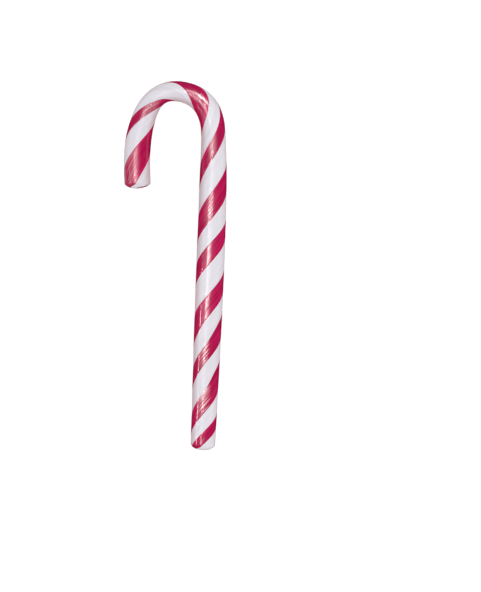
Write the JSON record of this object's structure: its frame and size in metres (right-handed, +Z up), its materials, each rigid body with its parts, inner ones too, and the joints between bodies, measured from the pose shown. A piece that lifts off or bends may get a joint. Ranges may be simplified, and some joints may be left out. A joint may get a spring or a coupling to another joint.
{
  "type": "candy cane",
  "caption": "Peppermint candy cane: a striped stick of hard sugar with a crook at its top, lying on its side.",
  "frame": {"origin": "on the floor, under the middle of the outline", "axes": "+Y along the straight shank from its foot to the crook, -X to the side the crook turns over to, +Z up from the flat underside it rests on"},
  "size_m": [0.0398, 0.14, 0.0104],
  "materials": {
    "striped_sugar": "glossy white pulled sugar with two crimson spiral stripes, one wide and one narrow, streaked like silk"
  },
  "bodies": {
    "root": {"candy_cane": "striped_sugar"}
  },
  "joints": []
}
